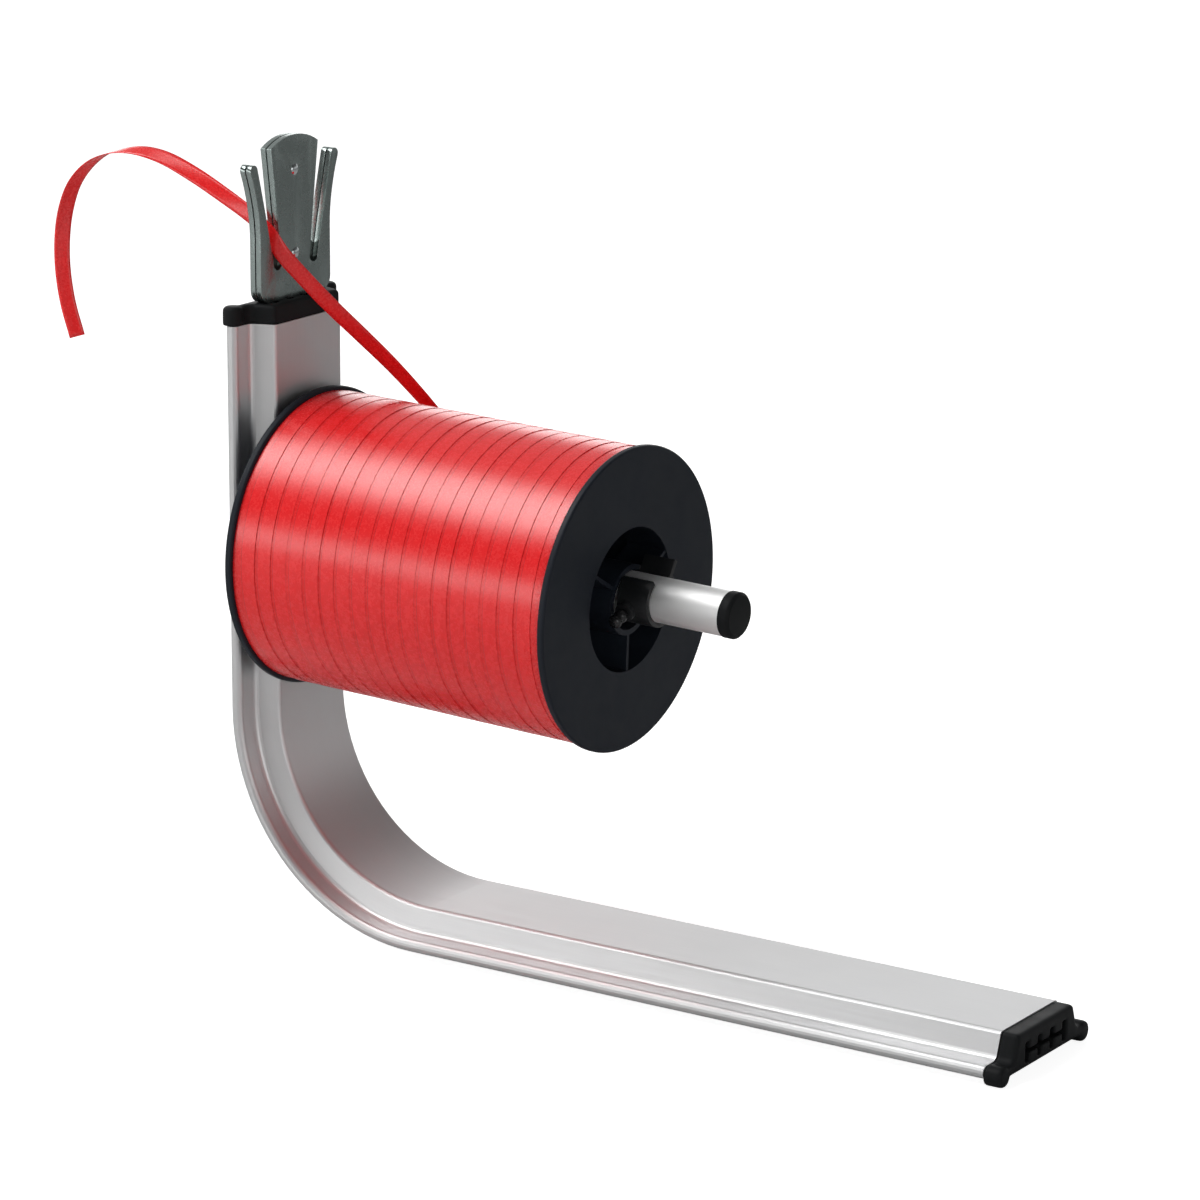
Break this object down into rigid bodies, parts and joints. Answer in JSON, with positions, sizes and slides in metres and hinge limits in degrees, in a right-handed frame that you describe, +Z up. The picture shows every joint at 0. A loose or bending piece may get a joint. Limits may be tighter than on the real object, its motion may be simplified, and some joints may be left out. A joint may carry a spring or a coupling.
{
  "type": "ribbon spool dispenser",
  "caption": "Counter dispenser for curling ribbon: a bent aluminium profile carries a spool on a drooping tube spindle and a slotted cutter on top.",
  "frame": {"origin": "under the middle of the object on the counter, without the free ribbon", "axes": "+X along the foot, from the upright to the foot's free end; +Y across the foot, away from the picture's near side; +Z up"},
  "size_m": [0.3506, 0.095, 0.2502],
  "materials": {
    "anodised_aluminium": "satin anodised, drawn lengthways",
    "black_moulding": "semi-matte moulded",
    "foot_rubber": "matte",
    "zinc_plated_steel": "zinc plated, dull",
    "blade_steel": "dark blued",
    "satin_tube": "satin plated",
    "insert_brass": "turned",
    "screw_steel": "zinc plated",
    "washer_nylon": "natural nylon",
    "spool_plastic": "smooth moulded, bluish black",
    "red_ribbon": "embossed satin",
    "glossy_black": "glossy"
  },
  "bodies": {
    "frame": {"frame_profile": "anodised_aluminium", "top_end_cap": "black_moulding", "foot_end_cap": "black_moulding", "rear_foot_strip": "foot_rubber", "cutter_front_plate": "zinc_plated_steel", "cutter_rear_plate": "zinc_plated_steel", "cutter_blade": "blade_steel", "cutter_rivets": "zinc_plated_steel", "spindle_tube": "satin_tube", "spindle_end_plug": "black_moulding", "spindle_insert": "insert_brass", "spindle_screw": "screw_steel", "spindle_screw_washer": "screw_steel", "spindle_crush_sleeve": "screw_steel", "spindle_thrust_washer": "washer_nylon", "free_ribbon": "red_ribbon"},
    "spool": {"spool_core_tube": "spool_plastic", "spool_front_flange": "spool_plastic", "spool_rear_flange": "spool_plastic", "ribbon_winding": "red_ribbon"},
    "stop": {"spool_stop": "black_moulding"},
    "locking_screw": {"stop_locking_screw": "glossy_black"}
  },
  "joints": [
    {"name": "spool_spin", "type": "hinge", "parent": "frame", "child": "spool", "pos_m": [-0.06368, 0, 0.12156], "axis": [0.9994, 0, -0.0349], "continuous": true},
    {"name": "stop_slide", "type": "slide", "parent": "frame", "child": "stop", "axis": [0.9994, 0, -0.0349], "range_m": [0, 0.0237]},
    {"name": "lock_turn", "type": "hinge", "parent": "stop", "child": "locking_screw", "pos_m": [-0.00049, 0, 0.12135], "axis": [-0.0119, -0.9397, -0.3418], "range_deg": [0, 360]}
  ]
}
